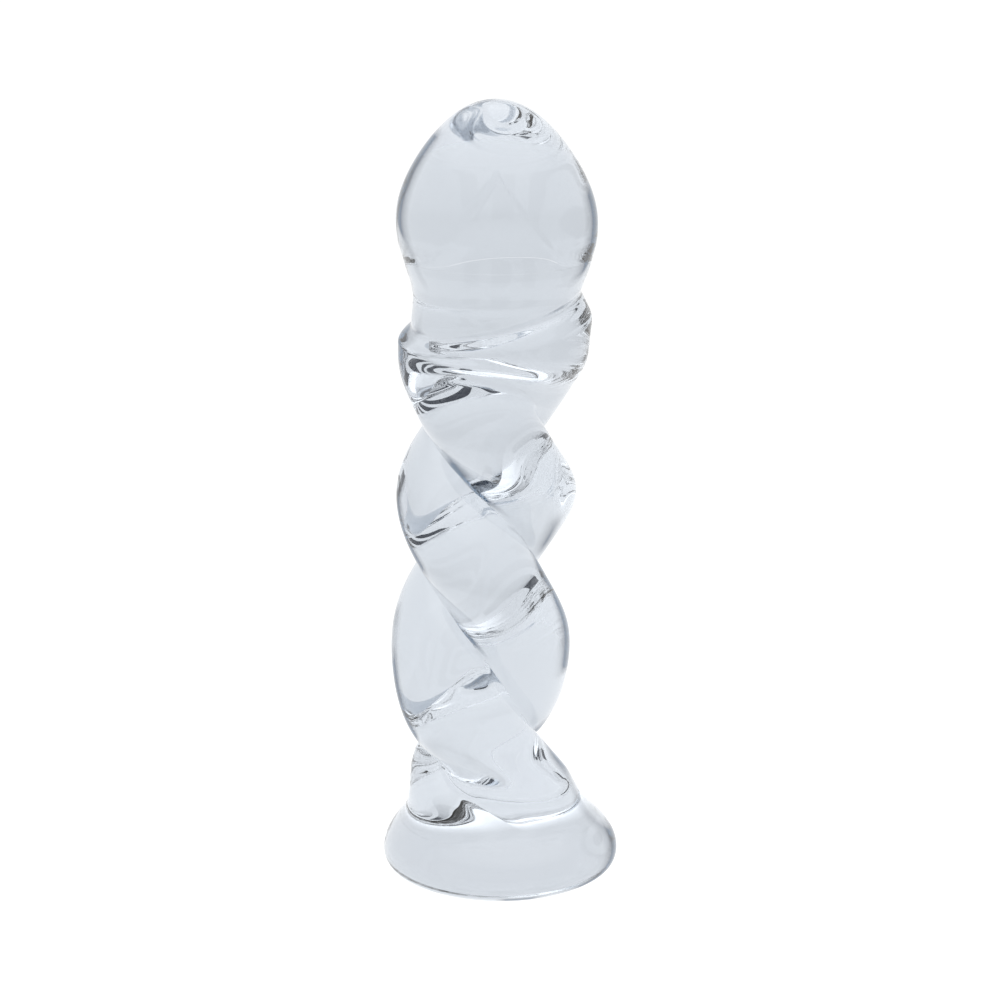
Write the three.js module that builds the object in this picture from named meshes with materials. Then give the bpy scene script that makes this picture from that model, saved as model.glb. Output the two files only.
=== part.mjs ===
// A solid clear glass adult-product wand, made hot from five gathers of glass fused end to end:
// a round flared foot, two strands twisted round each other, a short collar and an egg-shaped head.
// Millimetres, +Z up. The origin is the centre of the flat underside. -Y is the front.
import * as THREE from 'three';
import { mergeVertices } from 'three/addons/utils/BufferGeometryUtils.js';

const HEIGHT = 176;              // underside to crown
const FOOT_RADIUS = 26.1;        // widest part of the rounded rim
const CONTACT_RADIUS = 22.6;     // flat that rests on the table
const STRAND_RADIUS = 13.2;      // each twisted strand
const STRAND_OFFSET = 6.6;       // strand centre from the axis of the twist
const CLEFT_DEPTH = 0.8;         // extra depth where the strands meet
const FLARE_TOP_Z = 38;          // where the flare of the foot has died out
const FILLET = 2.5;              // softness of the corner between strands and flare
const FRONT_FILLET = 6;          // extra softness of that corner in front
const NECK_RADIUS = 18.4;        // narrowest part of the collar
const SHOULDER_RISE = 2.5;       // how far the strand tops stand out below the collar
const FOLD_DEPTH = 1;            // crease above the strand tops, deepest in front
const LIP_DEPTH = 0.54;          // crease under the head, deepest behind
const BAND_Z = [105, 113];       // heights over which the front groove fills up
const BAND_SLOPE = 0.89;         // steepest turn the filled band follows
const TWIST_ENDS_Z = 109.3;      // where the twist starts to melt into a round section
const ROUND_BEGINS_Z = 125.8;    // where the section is round
const HEAD_RADIUS = 21.9;        // widest part of the head
const HEAD_WIDEST_Z = 149.3;     // height of that widest part
const HEAD_SLIMMING = 0.15;      // how much slimmer than a true ellipse the crown is
const FACET_DEPTH = 0.9;         // shallow pressed area on the front of the head
const FACET_TOP_Z = 165;         // its peak
const FOOT_JOINT_Z = 12.6;       // middle height of each fused joint
const COLLAR_JOINT_Z = 129.3;
const HEAD_JOINT_Z = 141.5;
const JOINT_GAP = 0.3;           // clearance left along every fused joint
const TWIST_GAP = 0.4;           // the same, measured level across the slanting strand joint

// Stations are [height, value] pairs, joined by a smooth curve.
// The shaft bows a few millimetres to one side, as hand-made glass does.
const AXIS_BOW = [
  [0, 0], [8, 0], [14, -0.6], [20, -1.8], [27, -2.9], [34, -3.7], [50, -4.3], [68, -3.9],
  [80, -3.3], [90, -2.9], [102, -2.4], [112, -1.8], [121, -1.2], [130, -0.8], [140, -0.5],
  [150, -0.7], [HEIGHT, -0.9],
];
// Turn of the two grooves in degrees. The angle falls with height: a left-hand twist.
const GROOVE_A = [
  [8, 668], [13, 655], [19, 628], [23, 600], [30, 540], [51, 450], [71.5, 360], [88.5, 270],
  [103, 180], [119, 90], [126, 42], [131, 16],
];
const GROOVE_B = [
  [8, 486], [13, 474], [19, 446], [23, 419], [31.5, 360], [53.5, 270], [71.5, 180], [87, 90],
  [102.5, 0], [119, -90], [126, -138], [131, -162],
];
const FOOT_PROFILE = [
  [0, CONTACT_RADIUS], [1, 24.4], [2.5, 25.7], [4.5, FOOT_RADIUS], [6.7, 25.7], [8.6, 24.8],
  [10.4, 23.5], [12.2, 21.9], [14, 20.3], [16, 18.6], [18.5, 16.6], [22, 13.5], [30, 7],
];
const COLLAR_PROFILE = [
  [100, NECK_RADIUS], [128, NECK_RADIUS], [133, 18.3], [136, 18.9], [140, 20.3], [144, 21.3],
  [HEAD_WIDEST_Z, HEAD_RADIUS], [155, 21.6],
];

const RAD = Math.PI / 180;
const gauss = (x, width) => Math.exp(-((x / width) ** 2));
const modulo = (x, n) => ((x % n) + n) % n;

function ease(x, from, to) {
  const t = Math.min(Math.max((x - from) / (to - from), 0), 1);
  return t * t * (3 - 2 * t);
}

// A natural spline through the stations, straight past both ends.
function spline(stations) {
  const x = stations.map((station) => station[0]);
  const y = stations.map((station) => station[1]);
  const last = x.length - 1;
  const step = x.slice(1).map((value, i) => value - x[i]);
  const slope = step.map((h, i) => (y[i + 1] - y[i]) / h);
  const bend = x.map(() => 0);
  const ratio = x.map(() => 0);
  for (let i = 1; i < last; i += 1) {
    const pivot = 2 * (step[i - 1] + step[i]) - step[i - 1] * ratio[i - 1];
    ratio[i] = step[i] / pivot;
    bend[i] = (6 * (slope[i] - slope[i - 1]) - step[i - 1] * bend[i - 1]) / pivot;
  }
  for (let i = last - 1; i > 0; i -= 1) bend[i] -= ratio[i] * bend[i + 1];
  const startSlope = slope[0] - (bend[1] * step[0]) / 6;
  const endSlope = slope[last - 1] + (bend[last - 1] * step[last - 1]) / 6;

  return (z) => {
    const inside = Math.min(Math.max(z, x[0]), x[last]);
    let i = 0;
    while (i < last - 1 && inside >= x[i + 1]) i += 1;
    const h = step[i];
    const up = inside - x[i];
    const down = x[i + 1] - inside;
    return (bend[i] * down ** 3 + bend[i + 1] * up ** 3) / (6 * h)
      + (y[i] / h - (bend[i] * h) / 6) * down
      + (y[i + 1] / h - (bend[i + 1] * h) / 6) * up
      + Math.min(z - x[0], 0) * startSlope
      + Math.max(z - x[last], 0) * endSlope;
  };
}

const axisBow = spline(AXIS_BOW);
const grooveA = spline(GROOVE_A);
const grooveB = spline(GROOVE_B);
const footProfile = spline(FOOT_PROFILE);
const collarProfile = spline(COLLAR_PROFILE);
const east = (deg) => Math.cos(deg * RAD);
const back = (deg) => Math.sin(deg * RAD);

// The three round joints tilt a little.
const footJoint = (deg) => FOOT_JOINT_Z + 0.6 * back(deg);
const collarJoint = (deg) => COLLAR_JOINT_Z + 4.1 * east(deg) + 0.8 * back(deg);
const headJoint = (deg) => HEAD_JOINT_Z - 1.5 * back(deg);

// Outline of the two strands together: two overlapping circles with a cleft on each side.
// Near the top the front groove fills up, like a band laid over both strands.
function strandOutline(deg, z) {
  const a = grooveA(z);
  const span = modulo(grooveB(z) - a, 360);
  const along = modulo(deg - a, 360);
  const isFirst = along < span;
  const across = isFirst ? along / span : (along - span) / (360 - span);
  const swing = (across - 0.5) * Math.PI;
  const lobe = STRAND_OFFSET * Math.cos(swing)
    + Math.sqrt(STRAND_RADIUS ** 2 - (STRAND_OFFSET * Math.sin(swing)) ** 2);
  const flush = STRAND_RADIUS / Math.max(Math.abs(Math.sin(swing)), BAND_SLOPE);
  const nearness = Math.max(isFirst ? across : 1 - across, 0.5);
  const filled = nearness > 0.5 ? ease(z, ...BAND_Z) * ease(nearness, 0.4, 0.7) : 0;
  const slimmer = 1 - 0.1 * ease(z, 34, 20);
  const cleft = CLEFT_DEPTH * gauss(Math.min(across, 1 - across) * 180, 9) * (1 - filled);
  return slimmer * (lobe + Math.max(flush - lobe, 0) * filled) - cleft;
}

// Outline of the collar and the head, with the strand shoulders swelling its lower edge.
function roundOutline(deg, z) {
  if (z > HEAD_WIDEST_Z) {
    const q = Math.min((z - HEAD_WIDEST_Z) / (HEIGHT - HEAD_WIDEST_Z), 1);
    return HEAD_RADIUS * Math.sqrt(1 - q * q) * (1 - HEAD_SLIMMING * ease(q, 0, 1));
  }
  const rise = SHOULDER_RISE * (0.4 + 0.6 * east(deg) ** 2);
  return collarProfile(z) + rise * (1 - ease(z - collarJoint(deg), -4.5 - 1.5 * east(deg), 1.2));
}

// Pressed area on the front of the head, from 0 to 1. It ends above in a roof of two lines, the
// right one steeper than the left, and fades out below.
function facet(deg, z) {
  const across = (modulo(deg + 270, 360) - 180) * RAD * HEAD_RADIUS - 0.3;
  const right = ease((FACET_TOP_Z - z) * 0.59 - across * 0.81, -0.3, 0.7);
  const left = ease((FACET_TOP_Z - z) * 0.66 + across * 0.75, -0.6, 2.5);
  return right * left * ease(z, 143, 160);
}

// Distance from the axis to the skin of the glass, at any turn and height.
function skin(deg, z) {
  const behind = (1 + back(deg)) / 2;
  const twistEnds = TWIST_ENDS_Z + 1.8 * east(deg) + 0.8 * back(deg);
  const roundBegins = ROUND_BEGINS_Z + 1.8 * east(deg) - 1.2 * back(deg);
  const blend = ease(z, twistEnds, roundBegins);
  let r = strandOutline(deg, z) * (1 - blend) + roundOutline(deg, z) * blend;
  if (z < FLARE_TOP_Z) {
    const foot = footProfile(z);
    const softness = FILLET + FRONT_FILLET * (1 - behind) ** 2;
    r = (r + foot + Math.hypot(r - foot, softness * ease(z, FLARE_TOP_Z, 16) + 0.001)) / 2;
    r += (foot - r) * ease(z, 24, 3);
  }
  const lip = LIP_DEPTH * (0.07 + 0.93 * behind ** 2);
  const fold = FOLD_DEPTH * (0.1 + 0.9 * (1 - behind) ** 2);
  const aboveHead = z - headJoint(deg);
  r += lip * (0.5 * gauss(aboveHead - 3.6, 2.6) - gauss(aboveHead, 1.8));
  r -= fold * gauss(z - collarJoint(deg), 1.2);
  return r - FACET_DEPTH * facet(deg, z);
}

function skinPoint(deg, z) {
  const r = skin(deg, z);
  return [axisBow(z) + r * east(deg), r * back(deg), z];
}
const axisPoint = (z) => [axisBow(z), 0, z];
const between = (a, b, f) => a.map((v, i) => v + (b[i] - v) * f);

// Collects points and triangles, then welds them into one closed geometry.
class Skin {
  constructor() {
    this.positions = [];
  }

  triangle(a, b, c) {
    this.positions.push(...a, ...b, ...c);
  }

  // a-b-c-d runs anticlockwise seen from outside; the quad is cut from a to c.
  quad(a, b, c, d) {
    this.triangle(a, b, c);
    this.triangle(a, c, d);
  }

  geometry() {
    const raw = new THREE.BufferGeometry();
    raw.setAttribute('position', new THREE.Float32BufferAttribute(this.positions, 3));
    const welded = mergeVertices(raw, 1e-4);
    welded.computeVertexNormals();
    return welded;
  }
}

// A cap is a fan of straight spokes from its centre to the rim, in a few rings.
function cap(body, centre, rim, closed, facesUp) {
  const rings = 3;
  const count = closed ? rim.length : rim.length - 1;
  for (let i = 0; i < count; i += 1) {
    const p = rim[i];
    const q = rim[(i + 1) % rim.length];
    for (let k = 0; k < rings; k += 1) {
      const a = between(centre, p, k / rings);
      const b = between(centre, p, (k + 1) / rings);
      const c = between(centre, q, (k + 1) / rings);
      const d = between(centre, q, k / rings);
      if (k === 0 && facesUp) body.triangle(a, b, c);
      if (k === 0 && !facesUp) body.triangle(a, c, b);
      if (k > 0 && facesUp) body.quad(a, b, c, d);
      if (k > 0 && !facesUp) body.quad(a, d, c, b);
    }
  }
}

// One round piece: rings of skin between two joints, with a cap at each end.
function roundPiece(levels, segments, heightAt, bottomCentre, topCentre) {
  const body = new Skin();
  const rings = [];
  for (let j = 0; j <= levels; j += 1) {
    const ring = [];
    for (let i = 0; i < segments; i += 1) {
      const deg = (360 * i) / segments;
      ring.push(skinPoint(deg, heightAt(deg, j / levels)));
    }
    rings.push(ring);
  }
  for (let j = 0; j < levels; j += 1) {
    for (let i = 0; i < segments; i += 1) {
      const n = (i + 1) % segments;
      body.quad(rings[j][i], rings[j][n], rings[j + 1][n], rings[j + 1][i]);
    }
  }
  cap(body, bottomCentre, rings[0], true, false);
  cap(body, topCentre, rings[levels], true, true);
  return body.geometry();
}

// Flared foot. The flat underside is what the object rests on.
function footGeometry() {
  const top = (deg) => footJoint(deg) - JOINT_GAP / 2;
  return roundPiece(
    14,
    60,
    (deg, t) => top(deg) * t ** 1.25,
    axisPoint(0),
    axisPoint(FOOT_JOINT_Z - JOINT_GAP / 2),
  );
}

// Short collar between the strand tops and the head.
function collarGeometry() {
  const bottom = (deg) => collarJoint(deg) + JOINT_GAP / 2;
  const top = (deg) => headJoint(deg) - JOINT_GAP / 2;
  return roundPiece(
    9,
    48,
    (deg, t) => bottom(deg) + (top(deg) - bottom(deg)) * t,
    axisPoint(COLLAR_JOINT_Z + JOINT_GAP / 2),
    axisPoint(HEAD_JOINT_Z - JOINT_GAP / 2),
  );
}

// Egg-shaped head. Levels crowd together towards the crown, where a small flat closes it.
function headGeometry() {
  const bottom = (deg) => headJoint(deg) + JOINT_GAP / 2;
  return roundPiece(
    22,
    48,
    (deg, t) => bottom(deg) + (HEIGHT - 0.02 - bottom(deg)) * Math.sin((t * Math.PI) / 2) ** 0.92,
    axisPoint(HEAD_JOINT_Z + JOINT_GAP / 2),
    axisPoint(HEIGHT),
  );
}

// One strand of the twist. Its section is a D: a rounded outside between the two grooves, and
// a flat inside that passes through the axis, where it is fused to the other strand.
function strandGeometry(start, end) {
  const levels = 60;
  const steps = 20;
  const spokes = 3;
  const body = new Skin();
  const span = (z) => modulo(end(z) - start(z), 360);
  const low = (deg) => footJoint(deg) + JOINT_GAP / 2;
  const high = (deg) => collarJoint(deg) - JOINT_GAP / 2;

  // Height of one point. Its turn depends on its height, so it is settled in a few repeats.
  const heightOf = (across, t) => {
    let z = FOOT_JOINT_Z + (COLLAR_JOINT_Z - FOOT_JOINT_Z) * t;
    for (let repeat = 0; repeat < 12; repeat += 1) {
      const deg = start(z) + across * span(z);
      z = low(deg) + (high(deg) - low(deg)) * t;
    }
    return z;
  };

  const rings = [];
  for (let j = 0; j <= levels; j += 1) {
    const t = j / levels;
    const arc = [];
    for (let i = 0; i <= steps; i += 1) {
      const z = heightOf(i / steps, t);
      const deg = start(z) + (i / steps) * span(z);
      const point = skinPoint(deg, z);
      if (i === 0) {
        point[0] += -Math.sin(deg * RAD) * TWIST_GAP / 2;
        point[1] += Math.cos(deg * RAD) * TWIST_GAP / 2;
      }
      if (i === steps) {
        point[0] += Math.sin(deg * RAD) * TWIST_GAP / 2;
        point[1] += -Math.cos(deg * RAD) * TWIST_GAP / 2;
      }
      arc.push(point);
    }
    const bottomZ = FOOT_JOINT_Z + JOINT_GAP / 2;
    const zc = bottomZ + (COLLAR_JOINT_Z - FOOT_JOINT_Z - JOINT_GAP) * t;
    const middle = (start(zc) + span(zc) / 2) * RAD;
    const centre = axisPoint(zc);
    centre[0] += (Math.cos(middle) * TWIST_GAP) / 2;
    centre[1] += (Math.sin(middle) * TWIST_GAP) / 2;
    rings.push({ arc, centre });
  }

  for (let j = 0; j < levels; j += 1) {
    const here = rings[j];
    const next = rings[j + 1];
    for (let i = 0; i < steps; i += 1) {
      body.quad(here.arc[i], here.arc[i + 1], next.arc[i + 1], next.arc[i]);
    }
    // Both strands cut these flats the same way, so the joint between them keeps its width.
    for (let k = 0; k < spokes; k += 1) {
      const inner = k / spokes;
      const outer = (k + 1) / spokes;
      body.quad(
        between(here.centre, here.arc[0], inner),
        between(here.centre, here.arc[0], outer),
        between(next.centre, next.arc[0], outer),
        between(next.centre, next.arc[0], inner),
      );
      body.quad(
        between(next.centre, next.arc[steps], outer),
        between(here.centre, here.arc[steps], outer),
        between(here.centre, here.arc[steps], inner),
        between(next.centre, next.arc[steps], inner),
      );
    }
  }
  cap(body, rings[0].centre, rings[0].arc, false, false);
  cap(body, rings[levels].centre, rings[levels].arc, false, true);
  return body.geometry();
}

const group = new THREE.Group();
group.name = 'twisted_glass_wand';

function add(name, geometry, color) {
  const material = new THREE.MeshStandardMaterial({ color, roughness: 0.03, metalness: 0 });
  material.name = 'clear_glass';
  const mesh = new THREE.Mesh(geometry, material);
  mesh.name = name;
  group.add(mesh);
}

add('foot', footGeometry(), 0xcfd9e0);
add('strand_a', strandGeometry(grooveA, grooveB), 0xdbe5ec);
add('strand_b', strandGeometry(grooveB, grooveA), 0xc6d3dc);
add('collar', collarGeometry(), 0xdbe5ec);
add('head', headGeometry(), 0xcfd9e0);

export default group;
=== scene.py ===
import math

import bpy
import numpy as np
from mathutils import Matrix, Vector


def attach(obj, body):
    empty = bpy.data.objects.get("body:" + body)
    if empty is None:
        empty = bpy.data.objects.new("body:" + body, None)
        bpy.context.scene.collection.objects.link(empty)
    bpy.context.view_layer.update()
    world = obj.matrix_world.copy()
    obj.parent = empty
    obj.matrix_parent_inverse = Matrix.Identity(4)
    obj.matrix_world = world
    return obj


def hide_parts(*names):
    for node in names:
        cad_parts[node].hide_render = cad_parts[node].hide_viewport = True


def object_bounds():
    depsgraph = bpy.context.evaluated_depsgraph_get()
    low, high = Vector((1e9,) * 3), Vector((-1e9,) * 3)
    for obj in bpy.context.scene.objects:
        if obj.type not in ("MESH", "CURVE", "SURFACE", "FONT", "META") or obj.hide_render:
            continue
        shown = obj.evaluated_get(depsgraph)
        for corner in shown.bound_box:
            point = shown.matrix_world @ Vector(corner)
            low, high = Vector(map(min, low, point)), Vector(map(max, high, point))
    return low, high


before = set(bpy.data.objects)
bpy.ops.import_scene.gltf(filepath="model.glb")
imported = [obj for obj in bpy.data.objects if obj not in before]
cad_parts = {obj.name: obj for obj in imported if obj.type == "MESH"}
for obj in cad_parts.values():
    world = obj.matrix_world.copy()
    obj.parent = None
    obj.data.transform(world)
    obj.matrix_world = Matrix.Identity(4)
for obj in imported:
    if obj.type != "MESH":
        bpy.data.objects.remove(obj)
cad_box = [list(corner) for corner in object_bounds()]


# ---- The two twisted strands -----------------------------------------------------------------
# Two thick canes of clear borosilicate, wound round each other left-handed while soft. Each is a
# D in section, welded to its twin along the flat. Their feet spread into the flare of the foot,
# and their tops swell into round shoulders under the collar.

# Sizes are in mm, and a turn is in degrees round the bowed axis.
MM = 0.001
DEG = math.pi / 180
height = cad_box[1][2] / MM
axis_bow = [(0, 0), (8, 0), (14, -0.6), (20, -1.8), (27, -2.9), (34, -3.7), (50, -4.3),
            (68, -3.9), (80, -3.3), (90, -2.9), (102, -2.4), (112, -1.8), (121, -1.2),
            (130, -0.8), (140, -0.5), (150, -0.7), (height, -0.9)]
strand_radius = 13.2
strand_offset = 6.6
cleft_depth = 0.8
# Where each groove stands at each height. Its turn falls as it climbs.
groove_a = [(8, 668), (13, 655), (19, 628), (23, 600), (30, 540), (51, 450), (71.5, 360),
            (88.5, 270), (103, 180), (119, 90), (126, 42), (131, 16)]
groove_b = [(8, 486), (13, 474), (19, 446), (23, 419), (31.5, 360), (53.5, 270), (71.5, 180),
            (87, 90), (102.5, 0), (119, -90), (126, -138), (131, -162)]
cleft_width = 9
line_depth = 0.04
slimming = 0.1
# Near the top the front groove fills up, and higher still the twist melts into a round neck.
band_starts = 105
band_full = 113
band_roundness = 0.89
twist_melts = 109.3
neck_round = 125.8
shoulder_rise = 2.5
neck_profile = [(100, 18.4), (128, 18.4), (133, 18.3), (136, 18.9), (140, 20.3), (144, 21.3),
                (149.3, 21.9), (155, 21.6)]
flare_top = 38
flare_corner = 2.5
front_corner = 6
flare_profile = [(0, 22.6), (1, 24.4), (2.5, 25.7), (4.5, 26.1), (6.7, 25.7), (8.6, 24.8),
                 (10.4, 23.5), (12.2, 21.9), (14, 20.3), (16, 18.6), (18.5, 16.6), (22, 13.5),
                 (30, 7)]
foot_weld = 12.6
collar_weld = 129.3
weld_gap = 0.02
weld_rings = 6
strand_levels = 460
strand_steps = 180


def ease(x, start, end):
    """0 before start and 1 after end, with a soft ramp between them."""
    t = np.clip((x - start) / (end - start), 0, 1)
    return t * t * (3 - 2 * t)


def hump(x, width):
    """1 at 0, dying away on both sides."""
    return np.exp(-((x / width) ** 2))


def curve(stations, z):
    """A bent-spline curve through (height, value) stations, straight past both ends."""
    x, y = np.array(stations, float).T
    h = np.diff(x)
    slope = np.diff(y) / h
    bends = np.eye(len(x))
    bends[1:-1] = 0
    for i in range(1, len(x) - 1):
        bends[i, i - 1:i + 2] = h[i - 1], 2 * (h[i - 1] + h[i]), h[i]
    bend = np.linalg.solve(bends, np.r_[0, 6 * np.diff(slope), 0])
    z = np.asarray(z, float)
    i = np.clip(np.searchsorted(x, z, side="right") - 1, 0, len(x) - 2)
    up = np.clip(z, x[0], x[-1]) - x[i]
    down = h[i] - up
    inside = ((bend[i] * down ** 3 + bend[i + 1] * up ** 3) / (6 * h[i])
              + (y[i] / h[i] - bend[i] * h[i] / 6) * down
              + (y[i + 1] / h[i] - bend[i + 1] * h[i] / 6) * up)
    first_slope = slope[0] - bend[1] * h[0] / 6
    last_slope = slope[-1] + bend[-2] * h[-1] / 6
    below = np.minimum(z - x[0], 0) * first_slope
    beyond = np.maximum(z - x[-1], 0) * last_slope
    return inside + below + beyond


def foot_joint(turn):
    return foot_weld + 0.6 * np.sin(turn * DEG)


def collar_joint(turn):
    return collar_weld + 4.1 * np.cos(turn * DEG) + 0.8 * np.sin(turn * DEG)


def twist_outline(turn, z):
    """Outline of both strands together: two overlapping circles with a cleft on each side."""
    a = curve(groove_a, z)
    span = np.mod(curve(groove_b, z) - a, 360)
    along = np.mod(turn - a, 360)
    across = np.where(along < span, along / span, (along - span) / (360 - span))
    swing = (across - 0.5) * math.pi
    lobe = (strand_offset * np.cos(swing)
            + np.sqrt(strand_radius ** 2 - (strand_offset * np.sin(swing)) ** 2))
    # Near the top the front groove is filled flush, like a band laid over both strands.
    flush = strand_radius / np.maximum(np.abs(np.sin(swing)), band_roundness)
    nearness = np.where(along < span, across, 1 - across)
    filled = ease(z, band_starts, band_full) * ease(nearness, 0.4, 0.7) * (nearness > 0.5)
    lobe = lobe + np.maximum(flush - lobe, 0) * filled
    slimmer = 1 - slimming * ease(z, 34, 20)
    beside = np.minimum(across, 1 - across) * 180
    cleft = cleft_depth * hump(beside, cleft_width) * (1 - filled)
    # The winding drew fine lines in the glass beside the grooves, behind and to the right.
    ridges = (np.cos(beside * 0.9) + 0.6 * np.cos(beside * 0.57 + 1)
              + 0.35 * np.cos(beside * 1.7))
    from_back_right = np.mod(turn + 120, 360) - 180
    where_drawn = hump(beside - 11, 9) * hump(from_back_right, 45) * (1 - filled)
    return slimmer * lobe - cleft + line_depth * ridges * where_drawn


def shaft_skin(turn, z):
    """Distance from the axis to the glass, from the foot up to the collar."""
    east = np.cos(turn * DEG)
    north = np.sin(turn * DEG)
    above_collar = z - collar_joint(turn)
    rise = shoulder_rise * (0.4 + 0.6 * east ** 2)
    neck = curve(neck_profile, z) + rise * (1 - ease(above_collar, -4.5 - 1.5 * east, 1.2))
    melts = twist_melts + 1.8 * east + 0.8 * north
    is_round = neck_round + 1.8 * east - 1.2 * north
    blend = ease(z, melts, is_round)
    r = twist_outline(turn, z) * (1 - blend) + neck * blend
    # The corner between strands and flare is softest in front.
    front = (1 - north) / 2
    flare = curve(flare_profile, z)
    softness = (flare_corner + front_corner * front ** 2) * ease(z, flare_top, 16) + 0.001
    r = np.where(z < flare_top, (r + flare + np.hypot(r - flare, softness)) / 2, r)
    r = r + (flare - r) * ease(z, 24, 3)
    # A crease runs round over the shoulders, deepest in front.
    return r - (0.1 + 0.9 * front ** 2) * hump(above_collar, 1.2)


def skin_point(skin, turn, z):
    r = skin(turn, z)
    x = curve(axis_bow, z) + r * np.cos(turn * DEG)
    return np.stack([x, r * np.sin(turn * DEG), z], -1)


def axis_point(z):
    return np.array([float(curve(axis_bow, z)), 0, z])


def surface(place, across, up):
    """Points and outward normals of the surface place(across, up) over a grid."""
    side = 0.01 * (across[1] - across[0])
    lift = 0.01 * (up[-1] - up[-2])
    u, v = np.meshgrid(across, up)
    sideways = place(u + side, v) - place(u - side, v)
    upwards = place(u, np.minimum(v + lift, up[-1])) - place(u, np.maximum(v - lift, up[0]))
    normal = np.cross(sideways, upwards)
    length = np.linalg.norm(normal, axis=-1, keepdims=True)
    return place(u, v), normal / np.maximum(length, 1e-12)


def spokes(centre, rim):
    """A flat face of straight spokes from its centre, or its centre line, out to the rim."""
    t = np.linspace(0, 1, weld_rings + 1)[:, None, None]
    return centre + t * (rim - centre)


def grid_quads(rows, columns, around):
    """The quads of a grid as point numbers, joined up sideways where it goes all the way round."""
    i = np.arange(columns if around else columns - 1)
    low = np.arange(rows - 1)[:, None] * columns
    following = (i + 1) % columns
    quads = [low + i, low + following, low + columns + following, low + columns + i]
    return np.stack(quads, -1).reshape(-1, 4)


class Socket:
    """A value in a shader. - and * on it add Math nodes."""

    def __init__(self, tree, output=None):
        self.tree = tree
        self.output = output

    def node(self, kind, settings, sockets, out=0):
        """Add a node: its settings first, then the values or links of its sockets."""
        made = self.tree.nodes.new("ShaderNode" + kind)
        for name, value in settings.items():
            if name == "stops":
                marks = made.color_ramp.elements
                marks.remove(marks[-1])
                for position, grey in value:
                    mark = marks.new(position) if position else marks[0]
                    mark.color = (grey, grey, grey, 1)
            else:
                setattr(made, name, value)
        for name, value in sockets.items():
            if isinstance(value, Socket):
                self.tree.links.new(value.output, made.inputs[name])
            else:
                made.inputs[name].default_value = value
        return Socket(self.tree, made.outputs[out] if made.outputs else None)

    def math(self, operation, first, second):
        return self.node("Math", {"operation": operation}, {0: first, 1: second})

    def __sub__(self, other):
        return self.math("SUBTRACT", self, other)

    def __rsub__(self, other):
        return self.math("SUBTRACT", other, self)

    def __mul__(self, other):
        return self.math("MULTIPLY", self, other)

    __rmul__ = __mul__

    def ramped(self, start, end):
        """0 up to start and 1 from end on, with a straight ramp between them."""
        return self.node("Clamp", {}, {"Value": (self - start) * (1 / (end - start))})


def new_material(name):
    material = bpy.data.materials.new(name)
    material.use_nodes = True
    material.node_tree.nodes.clear()
    return material, Socket(material.node_tree)


# The glass is fire-polished, and is barely wavy where the flame moved it. Its blue-grey cast is
# partly its own tint and partly painted shade: darker than clear glass, to stand in for the grey
# room seen through it. Navy painted shade lies in patches along its edges, where the surface
# turns away from view.
glass, s = new_material("clear_glass")
spot = s.node("TexCoord", {}, {}, "Object")
drawn = s.node("Mapping", {}, {"Vector": spot, "Scale": (1, 1, 0.35)})
wave = s.node("TexNoise", {}, {"Vector": drawn, "Scale": 90.0, "Detail": 2.0})
mottle = s.node("TexNoise", {}, {"Vector": spot, "Scale": 38.0, "Detail": 1.0})
edge = s.node("LayerWeight", {}, {"Blend": 0.5}, "Facing")
# Painted shade: navy where the surface turns away from view, broken into patches by the mottle.
painted_edge_shade = edge.ramped(0.5, 0.68) * mottle.ramped(0.5, 0.56)
# Base Color mixes the blue-grey tint, partly painted shade, with the painted navy edge shade.
tint_and_painted_shade = s.node(
    "Mix",
    {"data_type": "RGBA"},
    {0: painted_edge_shade, 6: (0.575, 0.615, 0.665, 1), 7: (0.01, 0.025, 0.055, 1)},
    out=2,
)
polished = s.node("Bump", {}, {"Strength": 0.04, "Distance": 0.0004, "Height": wave})
clear = s.node(
    "BsdfPrincipled",
    {},
    {
        "Base Color": tint_and_painted_shade,
        "Roughness": 0.0,
        "IOR": 1.47,
        "Transmission Weight": 1.0,
        "Normal": polished,
    },
)
s.node("OutputMaterial", {}, {"Surface": clear})

# Where two gathers are welded there is no surface left, so the faces of a weld show nothing.
weld, s = new_material("weld")
unseen = s.node("BsdfTransparent", {}, {"Color": (1, 1, 1, 1)})
s.node("OutputMaterial", {}, {"Surface": unseen})
SKIN, WELD = 0, 1


def glass_piece(name, node, patches):
    """One gather, closed from patches of (points, normals or None, goes round, SKIN or WELD)."""
    points, normals, quads, kinds = [], [], [], []
    count = 0
    for grid, normal, around, kind in patches:
        flat = np.full(grid.shape, np.nan)
        points.append(grid.reshape(-1, 3))
        normals.append((flat if normal is None else normal).reshape(-1, 3))
        quads.append(grid_quads(*grid.shape[:2], around) + count)
        kinds.append(np.full(len(quads[-1]), kind))
        count += len(points[-1])
    points = np.concatenate(points)
    normals = np.concatenate(normals)
    quads = np.concatenate(quads)
    kinds = np.concatenate(kinds)
    # Patches share their edges once equal points are merged. A quad that loses a corner at the
    # centre of a weld becomes a triangle.
    _, first, merged = np.unique(np.round(points, 4), axis=0, return_index=True,
                                 return_inverse=True)
    corners = merged.ravel()[quads]
    kept = corners != np.roll(corners, -1, axis=1)
    faces = [corner[keep].tolist() for corner, keep in zip(corners, kept)]
    mesh = bpy.data.meshes.new(name)
    mesh.from_pydata((points[first] * MM).tolist(), [], faces)
    mesh.materials.append(glass)
    mesh.materials.append(weld)
    mesh.polygons.foreach_set("material_index", kinds)
    mesh.polygons.foreach_set("use_smooth", kinds == SKIN)
    face_normals = np.empty(len(faces) * 3)
    mesh.polygons.foreach_get("normal", face_normals)
    face_normals = np.repeat(face_normals.reshape(-1, 3), kept.sum(1), axis=0)
    skin_normals = normals[quads[kept]]
    mesh.normals_split_custom_set(
        np.where(np.isnan(skin_normals), face_normals, skin_normals).tolist())
    piece = bpy.data.objects.new(name, mesh)
    bpy.context.collection.objects.link(piece)
    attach(piece, "root")
    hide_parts(node)


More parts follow.
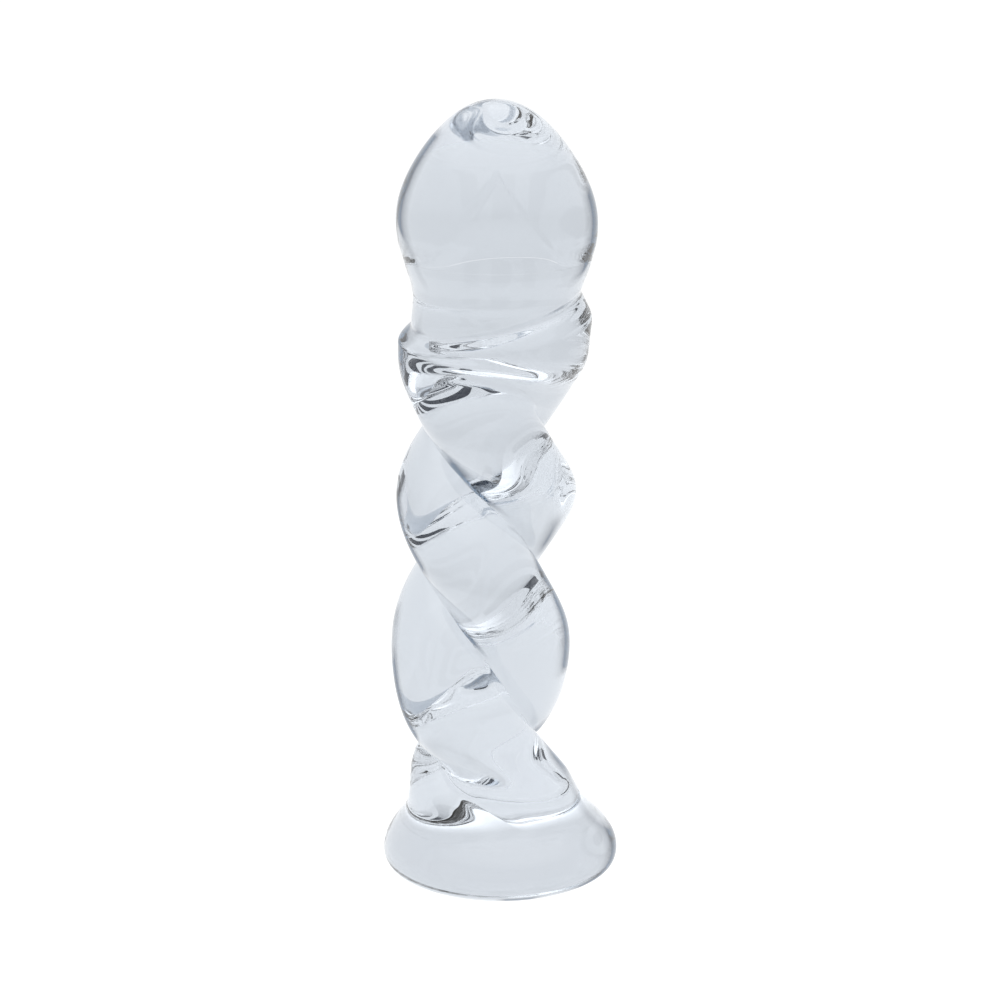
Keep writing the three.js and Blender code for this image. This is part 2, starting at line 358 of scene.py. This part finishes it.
def strand(name, node, start_groove, end_groove):
    levels = np.linspace(0, 1, strand_levels)
    # The steps crowd at both grooves, where the skin bends most.
    steps = (1 - np.cos(np.linspace(0, math.pi, strand_steps))) / 2

    def place(across, t):
        z = foot_weld + (collar_weld - foot_weld) * t
        # The turn of a point depends on its height, so both are settled in a few repeats.
        for _ in range(12):
            start = curve(start_groove, z)
            turn = start + across * np.mod(curve(end_groove, z) - start, 360)
            bottom = foot_joint(turn) + weld_gap / 2
            top = collar_joint(turn) - weld_gap / 2
            z = bottom + (top - bottom) * t
        return skin_point(shaft_skin, turn, z)

    skin, normals = surface(place, steps, levels)
    core_heights = foot_weld + weld_gap / 2 + (collar_weld - foot_weld - weld_gap) * levels
    core = np.array([axis_point(z) for z in core_heights])
    # The flats are drawn back a little from the twin strand.
    for column, sense in ((0, 1), (-1, -1)):
        out = skin[:, column] - core
        aside = np.stack([-out[:, 1], out[:, 0]], -1) / np.hypot(out[:, 0], out[:, 1])[:, None]
        skin[:, column, :2] += sense * weld_gap / 2 * aside
    middle = (skin[:, len(steps) // 2] - core)[:, :2]
    core[:, :2] += weld_gap / 2 * middle / np.linalg.norm(middle, axis=1)[:, None]
    start_flat = spokes(core, skin[:, 0]).swapaxes(0, 1)
    end_flat = spokes(core, skin[:, -1]).swapaxes(0, 1)
    glass_piece(name, node, [
        (skin, normals, False, SKIN),
        (start_flat, None, False, WELD),
        (end_flat[:, ::-1], None, False, WELD),
        (spokes(core[0], skin[0]), None, False, WELD),
        (spokes(core[-1], skin[-1])[::-1], None, False, WELD),
    ])


strand("strand_a_glass", "strand_a", groove_a, groove_b)
strand("strand_b_glass", "strand_b", groove_b, groove_a)


# ---- The foot --------------------------------------------------------------------------------
# A gather pressed out into a round flare with a fat soft rim. Its underside is ground flat, and
# the piece stands on it. The strands are welded onto its top.
segments = 256


def round_skin(skin, bottom, top, levels):
    """Skin that goes all the way round, between a lower and an upper joint."""
    turns = np.arange(segments) * 360 / segments

    def place(turn, t):
        low = bottom(turn)
        return skin_point(skin, turn, low + (top(turn) - low) * t)

    return surface(place, turns, levels)


def table_level(turn):
    return 0 * turn


def foot_top(turn):
    return foot_joint(turn) - weld_gap / 2


skin, normals = round_skin(shaft_skin, table_level, foot_top, np.linspace(0, 1, 80) ** 1.3)
glass_piece("foot_glass", "foot", [
    (skin, normals, True, SKIN),
    (spokes(axis_point(0), skin[0]), None, True, SKIN),
    (spokes(axis_point(foot_weld - weld_gap / 2), skin[-1])[::-1], None, True, WELD),
])


# ---- The collar ------------------------------------------------------------------------------
# A short smooth waist drawn in above the strand tops, which stand out under its edge. A soft lip
# rolls out where the head is welded on, most of all behind.
head_weld = 141.5


def head_joint(turn):
    return head_weld - 1.5 * np.sin(turn * DEG)


def lip(turn, z):
    roll = 0.04 + 0.5 * ((1 + np.sin(turn * DEG)) / 2) ** 2
    above = z - head_joint(turn)
    return roll * (0.5 * hump(above - 3.6, 2.6) - hump(above, 1.8))


def collar_skin(turn, z):
    return shaft_skin(turn, z) + lip(turn, z)


def collar_bottom(turn):
    return collar_joint(turn) + weld_gap / 2


def collar_top(turn):
    return head_joint(turn) - weld_gap / 2


skin, normals = round_skin(collar_skin, collar_bottom, collar_top, np.linspace(0, 1, 70))
glass_piece("collar_glass", "collar", [
    (skin, normals, True, SKIN),
    (spokes(axis_point(collar_weld + weld_gap / 2), skin[0]), None, True, WELD),
    (spokes(axis_point(head_weld - weld_gap / 2), skin[-1])[::-1], None, True, WELD),
])


# ---- The head --------------------------------------------------------------------------------
# The last gather, rounded to an egg in the flame and pressed a little flat in front, under a
# slanting roof of two faint lines. It is solid glass, welded to the top of the collar.
head_radius = 21.9
head_widest = 149.3
press_depth = 0.9
roof_peak = 165


def press(turn, z):
    """How far the front is pressed in, 0 to 1: up to the two lines, and fading out below."""
    across = (np.mod(turn + 270, 360) - 180) * DEG * head_radius - 0.3
    right = ease((roof_peak - z) * 0.59 - across * 0.81, -0.3, 0.7)
    left = ease((roof_peak - z) * 0.66 + across * 0.75, -0.6, 2.5)
    return right * left * ease(z, 143, 160)


def head_skin(turn, z):
    q = np.clip((z - head_widest) / (height - head_widest), 0, 1)
    dome = head_radius * np.sqrt(1 - q * q) * (1 - 0.15 * ease(q, 0, 1))
    egg = np.where(z > head_widest, dome + lip(turn, z), collar_skin(turn, z))
    return egg - press_depth * press(turn, z)


def head_bottom(turn):
    return head_joint(turn) + weld_gap / 2


def crown(turn):
    return height + 0 * turn


# The levels crowd towards the crown, where the skin closes in a point.
levels = np.sin(np.linspace(0, 1, 170) * math.pi / 2)
skin, normals = round_skin(head_skin, head_bottom, crown, levels)
normals[-1] = (0, 0, 1)
glass_piece("head_glass", "head", [
    (skin, normals, True, SKIN),
    (spokes(axis_point(head_weld + weld_gap / 2), skin[0]), None, True, WELD),
])


# ---- The table -------------------------------------------------------------------------------
# A plain white table that glows evenly from inside like a light table. A painted pool of light
# makes it a little brighter under the glass. It stands just clear of the foot.
table_top = -0.0002
table_corners = [(-9, -9), (9, -9), (9, 9), (-9, 9)]
table_mesh = bpy.data.meshes.new("table")
table_mesh.from_pydata([(x, y, table_top) for x, y in table_corners], [], [(0, 1, 2, 3)])
table = bpy.data.objects.new("table", table_mesh)
bpy.context.collection.objects.link(table)
paper, s = new_material("light_table_with_painted_pool")
spot = s.node("TexCoord", {}, {}, "Object")
away = s.node("VectorMath", {"operation": "LENGTH"}, {0: spot}, "Value")
# Painted pool of light: the glow is brightest under the glass and fades outwards.
brightness = [(0, 1.25), (0.1, 1.2), (0.3, 1.12), (0.5, 1.06)]
painted_light_pool = s.node("ValToRGB", {"stops": brightness}, {"Fac": away})
glow = s.node("Emission", {}, {"Color": painted_light_pool})
s.node("OutputMaterial", {}, {"Surface": glow})
table_mesh.materials.append(paper)


# ---- The studio light ------------------------------------------------------------------------
# A white room, brighter overhead. Narrow black cards, with a faint painted blue glow, stand round
# the glass to draw its edges.
# They show only through the glass: not to the camera, in reflections or in shadows.
room = bpy.data.worlds.new("white_room")
room.use_nodes = True
room.node_tree.nodes.clear()
s = Socket(room.node_tree)
direction = s.node("TexCoord", {}, {}, "Generated")
rise = s.node("SeparateXYZ", {}, {"Vector": direction}, "Z")
walls = s.node("ValToRGB", {"stops": [(0, 1.1), (0.5, 1.1), (0.75, 1.9)]}, {"Fac": rise})
lit = s.node("Background", {}, {"Color": walls, "Strength": 1.0})
s.node("OutputWorld", {}, {"Surface": lit})
bpy.context.scene.world = room

black, s = new_material("black_card")
# Black felt with a faint painted blue glow, so the dark seen through the glass is navy.
felt_with_painted_glow = s.node(
    "BsdfPrincipled",
    {},
    {
        "Base Color": (0, 0, 0, 1),
        "Roughness": 0.9,
        "Emission Color": (0.25, 0.5, 1, 1),
        "Emission Strength": 0.04,
    },
)
s.node("OutputMaterial", {}, {"Surface": felt_with_painted_glow})
card_distance = 0.28
card_height = Vector((0, 0, 0.3))
# Each card runs between two bearings, in degrees from straight behind the glass to the right.
card_bearings = [(69, 75), (85, 94), (100, 110), (-132, -120), (-153, -141), (164, 171),
                 (177, 187), (193, 199)]


def card_foot(bearing):
    east = math.sin(bearing * DEG)
    north = math.cos(bearing * DEG)
    return Vector((east, north, 0)) * card_distance


for start, end in card_bearings:
    a = card_foot(start)
    b = card_foot(end)
    card_mesh = bpy.data.meshes.new("card")
    card_mesh.from_pydata([a, b, b + card_height, a + card_height], [], [(0, 1, 2, 3)])
    card_mesh.materials.append(black)
    card = bpy.data.objects.new("card", card_mesh)
    bpy.context.collection.objects.link(card)
    card.visible_camera = False
    card.visible_diffuse = False
    card.visible_glossy = False
    card.visible_shadow = False


# ---- The camera ------------------------------------------------------------------------------
# A long lens at the front, looking down a little at the middle of the glass. A ray may pass many
# surfaces and welds on its way through the piece, so it is given enough bounces for all of them.
elevation = 18 * DEG
distance = 1.2
aim = Vector((0, 0, 0.0858))
camera = bpy.data.objects.new("camera", bpy.data.cameras.new("camera"))
bpy.context.collection.objects.link(camera)
towards = Vector((0, -math.cos(elevation), math.sin(elevation)))
camera.location = aim + towards * distance
camera.rotation_euler = (-towards).to_track_quat("-Z", "Y").to_euler()
camera.data.lens = 196.6
camera.data.clip_end = 100
bpy.context.scene.camera = camera
bpy.context.scene.view_settings.view_transform = "Standard"
bpy.context.scene.cycles.max_bounces = 24
bpy.context.scene.cycles.transmission_bounces = 24
bpy.context.scene.cycles.glossy_bounces = 12
bpy.context.scene.cycles.transparent_max_bounces = 64
